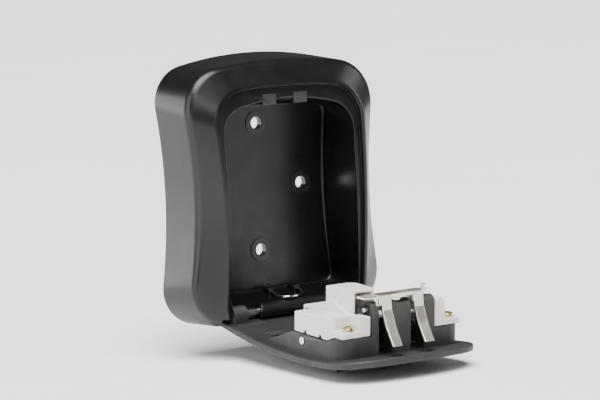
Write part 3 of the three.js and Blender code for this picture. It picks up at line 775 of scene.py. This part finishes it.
def make_wheel(index, x):
    """A number wheel: ten flats for digits, with a finger notch between each two."""
    steps, digits = 200, 10
    notch_depth = 0.75
    # Along the axle and out from it: face, shallow recess, rounded shoulder, tread.
    half_profile = [
        (WHEEL_HALF, WHEEL_BORE), (WHEEL_HALF, WHEEL_RADIUS - 2.4),
        (WHEEL_HALF - 0.25, WHEEL_RADIUS - 2.1), (WHEEL_HALF - 0.25, WHEEL_RADIUS - 1.0),
        (WHEEL_HALF - 0.6, WHEEL_RADIUS - 0.25), (WHEEL_HALF - 1.0, WHEEL_RADIUS),
    ]
    stations = [(-along, radius) for along, radius in half_profile]
    stations.append((0, WHEEL_RADIUS))
    stations += reversed(half_profile)
    bm = bmesh.new()
    loops = []
    for along, radius in stations:
        loop = []
        for i in range(steps):
            angle = 2 * math.pi * i / steps
            phase = (angle * digits / (2 * math.pi) + 0.5) % 1 - 0.5
            notch = max(0, 0.5 * (1 + math.cos(min(1, abs(abs(phase) - 0.5) * 7.5) * math.pi)))
            depth = notch_depth * notch if radius > WHEEL_RADIUS - 1.5 else 0
            r = radius - depth
            a, b = r * math.cos(angle), r * math.sin(angle)
            loop.append(bm.verts.new(place("x", x + along, a, b, SHAFT)))
        loops.append(loop)
    for one, two in zip(loops, loops[1:] + loops[:1]):
        for i in range(steps):
            j = (i + 1) % steps
            bm.faces.new([one[i], one[j], two[j], two[i]])
    wheel = smooth(from_bmesh("wheel", bm), 34)
    finished(wheel, f"dial_{index}_wheel", f"dial_{index}_body", BLACK,
             [f"dial_{index}"], door=True)
    make_digits(index, x)


def digit_mesh(text):
    curve = bpy.data.curves.new("digit", "FONT")
    curve.body = text
    curve.size = 4.4
    curve.extrude = 0.08
    curve.align_x = "CENTER"
    curve.align_y = "CENTER"
    curve.resolution_u = 3
    piece = new_piece("digit", curve)
    bpy.context.view_layer.update()
    graph = bpy.context.evaluated_depsgraph_get()
    mesh = bpy.data.meshes.new_from_object(piece.evaluated_get(graph))
    bpy.data.objects.remove(piece)
    return mesh


def make_digits(index, x):
    """The digits stand on the wheel's flats, and read upright at the front of a shut door."""
    bm = bmesh.new()
    for digit in range(10):
        angle = 2 * math.pi * digit / 10
        mesh = digit_mesh(str(digit))
        # Text lies in its own XY plane: stand it up, facing out at the front (-y), then turn it.
        upright = Matrix.Rotation(math.pi / 2, 4, "X")
        outward = Matrix.Translation((0, -WHEEL_RADIUS - 0.02, 0)) @ upright
        turn = Matrix.Rotation(-angle, 4, "X")
        mesh.transform(Matrix.Translation((x, SHAFT[0], SHAFT[1])) @ turn @ outward)
        bm.from_mesh(mesh)
        bpy.data.meshes.remove(mesh)
    digits = from_bmesh("digits", bm)
    digits.name = f"dial_{index}_digits"
    digits.data.transform(Matrix.Scale(MM, 4) @ DOOR)
    digits.data.materials.clear()
    digits.data.materials.append(DIGITS)
    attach(digits, f"dial_{index}_body")


for number, middle in enumerate(WHEELS, 1):
    make_wheel(number, middle)


# ---------- stage, light and camera ----------

def make_floor():
    bm = bmesh.new()
    bmesh.ops.create_grid(bm, x_segments=2, y_segments=2, size=14)
    floor = from_bmesh("floor", bm)
    floor.location.z = cad_box[0].z - 0.001
    p = Painter("floor")
    tone = p.blend(p.spread(p.noise(3), 0, 1), (0.86, 0.86, 0.86), (0.88, 0.88, 0.88))
    floor.data.materials.append(p.finish(tone, p.spread(p.noise(5), 0.7, 0.8)))


def add_area(name, location, target, size, power):
    data = bpy.data.lights.new(name, "AREA")
    data.shape = "RECTANGLE"
    data.size, data.size_y = size
    data.energy = power
    light = bpy.data.objects.new(name, data)
    light.location = location
    light.rotation_euler = (Vector(target) - Vector(location)).to_track_quat("-Z", "Y").to_euler()
    bpy.context.scene.collection.objects.link(light)


def make_light():
    world = bpy.data.worlds.new("studio")
    world.use_nodes = True
    world.node_tree.nodes["Background"].inputs["Color"].default_value = (1, 1, 1, 1)
    world.node_tree.nodes["Background"].inputs["Strength"].default_value = 0.12
    bpy.context.scene.world = world
    sun = bpy.data.lights.new("sky_panel", "SUN")
    sun.energy = 8.5
    sun.angle = math.radians(50)
    lamp = bpy.data.objects.new("sky_panel", sun)
    lamp.rotation_euler = (math.radians(18), math.radians(-14), 0)
    bpy.context.scene.collection.objects.link(lamp)
    add_area("left_softbox", (-1.1, -0.1, 0.3), (0, 0, 0), (0.6, 0.9), 7)
    add_area("rear_softbox", (-0.9, 1.2, 0.1), (0, 0, 0), (0.9, 0.9), 14)
    add_area("right_softbox", (1.2, -0.5, 0.3), (0, 0, 0), (0.3, 0.9), 5)
    add_area("front_fill", (-0.6, -1.3, 0.9), (0, -0.04, -0.03), (0.4, 0.4), 4)


VIEW_AZIMUTH = math.radians(-33.996)
VIEW_ELEVATION = math.radians(5.992)
VIEW_ROLL = math.radians(-2.268)
VIEW_DISTANCE = 1.0083
VIEW_FOCUS = Vector((0, -0.02, 0))
VIEW_LENS = 143.65674  # millimetres, on a 36 mm sensor
VIEW_ASIDE = -0.00815558  # metres from the focus to the middle of the view
VIEW_ABOVE = 0.00472844


def make_camera():
    a, e, r = VIEW_AZIMUTH, VIEW_ELEVATION, VIEW_ROLL
    right = Vector((math.cos(a), math.sin(a), 0))
    back = Vector((math.sin(a) * math.cos(e), -math.cos(a) * math.cos(e), math.sin(e)))
    up = back.cross(right)
    rolled_right = right * math.cos(r) + up * math.sin(r)
    rolled_up = up * math.cos(r) - right * math.sin(r)
    data = bpy.data.cameras.new("camera")
    data.sensor_width = 36
    data.lens = VIEW_LENS
    camera = bpy.data.objects.new("camera", data)
    turn = Matrix((rolled_right, rolled_up, back)).transposed().to_4x4()
    middle = VIEW_FOCUS - rolled_right * VIEW_ASIDE - rolled_up * VIEW_ABOVE
    spot = middle + back * VIEW_DISTANCE
    camera.matrix_world = Matrix.Translation(spot) @ turn
    bpy.context.scene.collection.objects.link(camera)
    bpy.context.scene.camera = camera


make_floor()
make_light()
make_camera()
